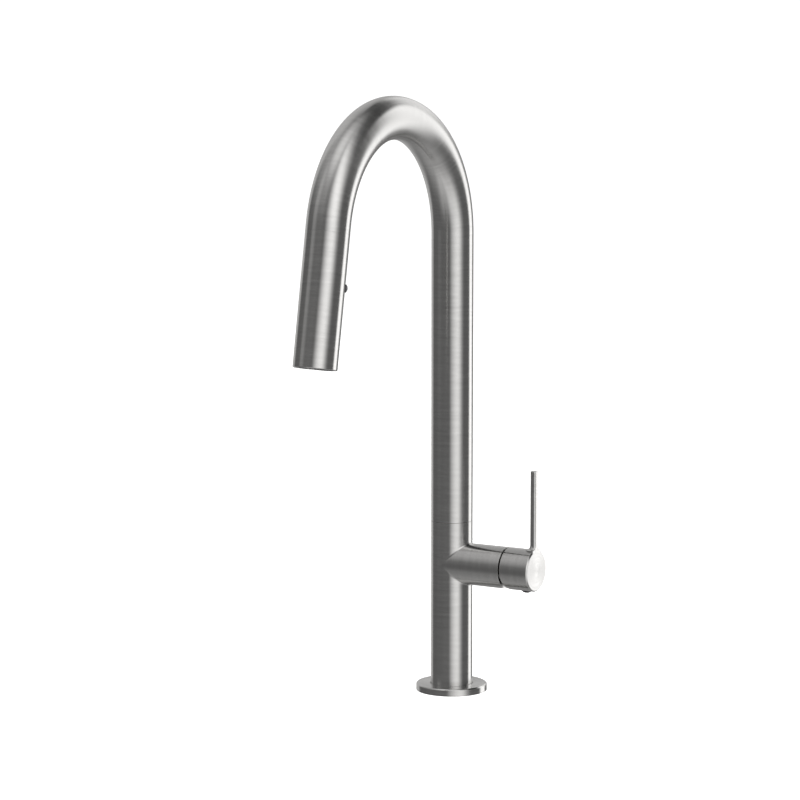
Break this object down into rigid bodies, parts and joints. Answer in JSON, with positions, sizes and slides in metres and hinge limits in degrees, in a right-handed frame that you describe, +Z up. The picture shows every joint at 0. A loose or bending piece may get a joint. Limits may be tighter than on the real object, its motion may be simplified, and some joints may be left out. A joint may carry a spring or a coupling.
{
  "type": "pull-down kitchen faucet",
  "caption": "Single-hole kitchen faucet with a slim round column, an arched swivel spout, a pull-down spray head and a side lever.",
  "frame": {"origin": "middle of the base flange where it rests on the deck", "axes": "+Z up along the column; the spout reaches towards -Y; the lever's axis points along +X"},
  "size_m": [0.1011, 0.237, 0.555],
  "materials": {
    "brushed": "brushed",
    "brass": "satin",
    "steel": "satin",
    "rubber": "matte",
    "nozzle_rubber": "matte",
    "white_plastic": "matte",
    "black_plastic": "matte",
    "grey_plastic": "matte",
    "ceramic": "gloss",
    "hose_braid": "woven"
  },
  "bodies": {
    "root": {"base_flange": "brushed", "flange_seal": "rubber", "mounting_shank": "brass", "faucet_body": "brushed", "valve_block": "brass", "cartridge_seat_seals": "rubber", "cartridge_housing": "grey_plastic", "ceramic_disc_fixed": "ceramic", "cartridge_nut": "steel", "swivel_post": "brass", "swivel_stop_pin": "steel", "post_snap_ring": "steel", "hose_coupling": "brass"},
    "deck_nut": {"mounting_nut": "brass", "nut_screws": "steel", "deck_rubber_washer": "rubber", "deck_steel_washer": "steel"},
    "spout": {"spout_tube": "brushed", "spout_insert": "brass", "spout_bush_lower": "white_plastic", "spout_bush_upper": "white_plastic", "dock_collar": "black_plastic", "spray_hose": "hose_braid"},
    "hose_end": {"hose_ferrule": "steel"},
    "spray_head": {"spray_shell": "brushed", "spray_core": "grey_plastic", "swivel_nut": "brass", "hose_washer": "rubber", "check_valve": "white_plastic", "button_spring": "steel", "spray_face": "black_plastic", "spray_nozzles": "nozzle_rubber", "diffuser_plate": "grey_plastic", "aerator": "white_plastic", "aerator_screen": "white_plastic"},
    "mode_button": {"mode_button": "black_plastic", "diverter_spool": "white_plastic"},
    "mixer_rotor": {"stem_carrier": "white_plastic", "stem_pin": "steel"},
    "disc_slide": {"disc_slider": "white_plastic", "ceramic_disc_moving": "ceramic"},
    "lever": {"handle": "brushed", "cartridge_stem": "brass", "set_screw": "steel", "screw_plug": "black_plastic"}
  },
  "joints": [
    {"name": "spout_swivel", "type": "hinge", "parent": "root", "child": "spout", "pos_m": [0, 0, 0.15], "axis": [0, 0, 1], "range_deg": [-75, 75]},
    {"name": "spray_pull", "type": "slide", "parent": "spout", "child": "hose_end", "axis": [0, -0.1788, -0.9839], "range_m": [0, 0.25], "deforming": ["spray_hose"]},
    {"name": "spray_spin", "type": "hinge", "parent": "hose_end", "child": "spray_head", "pos_m": [0, -0.17947, 0.34787], "axis": [0, -0.1788, -0.9839], "continuous": true},
    {"name": "mode_press", "type": "slide", "parent": "spray_head", "child": "mode_button", "axis": [-0.7986, -0.5921, 0.1076], "range_m": [0, 0.0012], "stiffness_N_per_m": 1500, "springref_m": -0.001, "deforming": ["button_spring"]},
    {"name": "temperature", "type": "hinge", "parent": "root", "child": "mixer_rotor", "pos_m": [0.041, 0, 0.0995], "axis": [1, 0, 0], "range_deg": [-45, 45]},
    {"name": "lever_tilt", "type": "hinge", "parent": "mixer_rotor", "child": "lever", "pos_m": [0.041, 0, 0.0995], "axis": [0, 1, 0], "range_deg": [0, 12]},
    {"name": "disc_travel", "type": "slide", "parent": "mixer_rotor", "child": "disc_slide", "axis": [0, 0, 1], "range_m": [0, 0.00241]},
    {"name": "nut_release", "type": "slide", "parent": "root", "child": "deck_nut", "axis": [0, 0, -1], "range_m": [0, 0.1]}
  ],
  "couplings": [
    {"joint": "disc_travel", "follows": "lever_tilt", "m_per_rad": 0.0115}
  ]
}
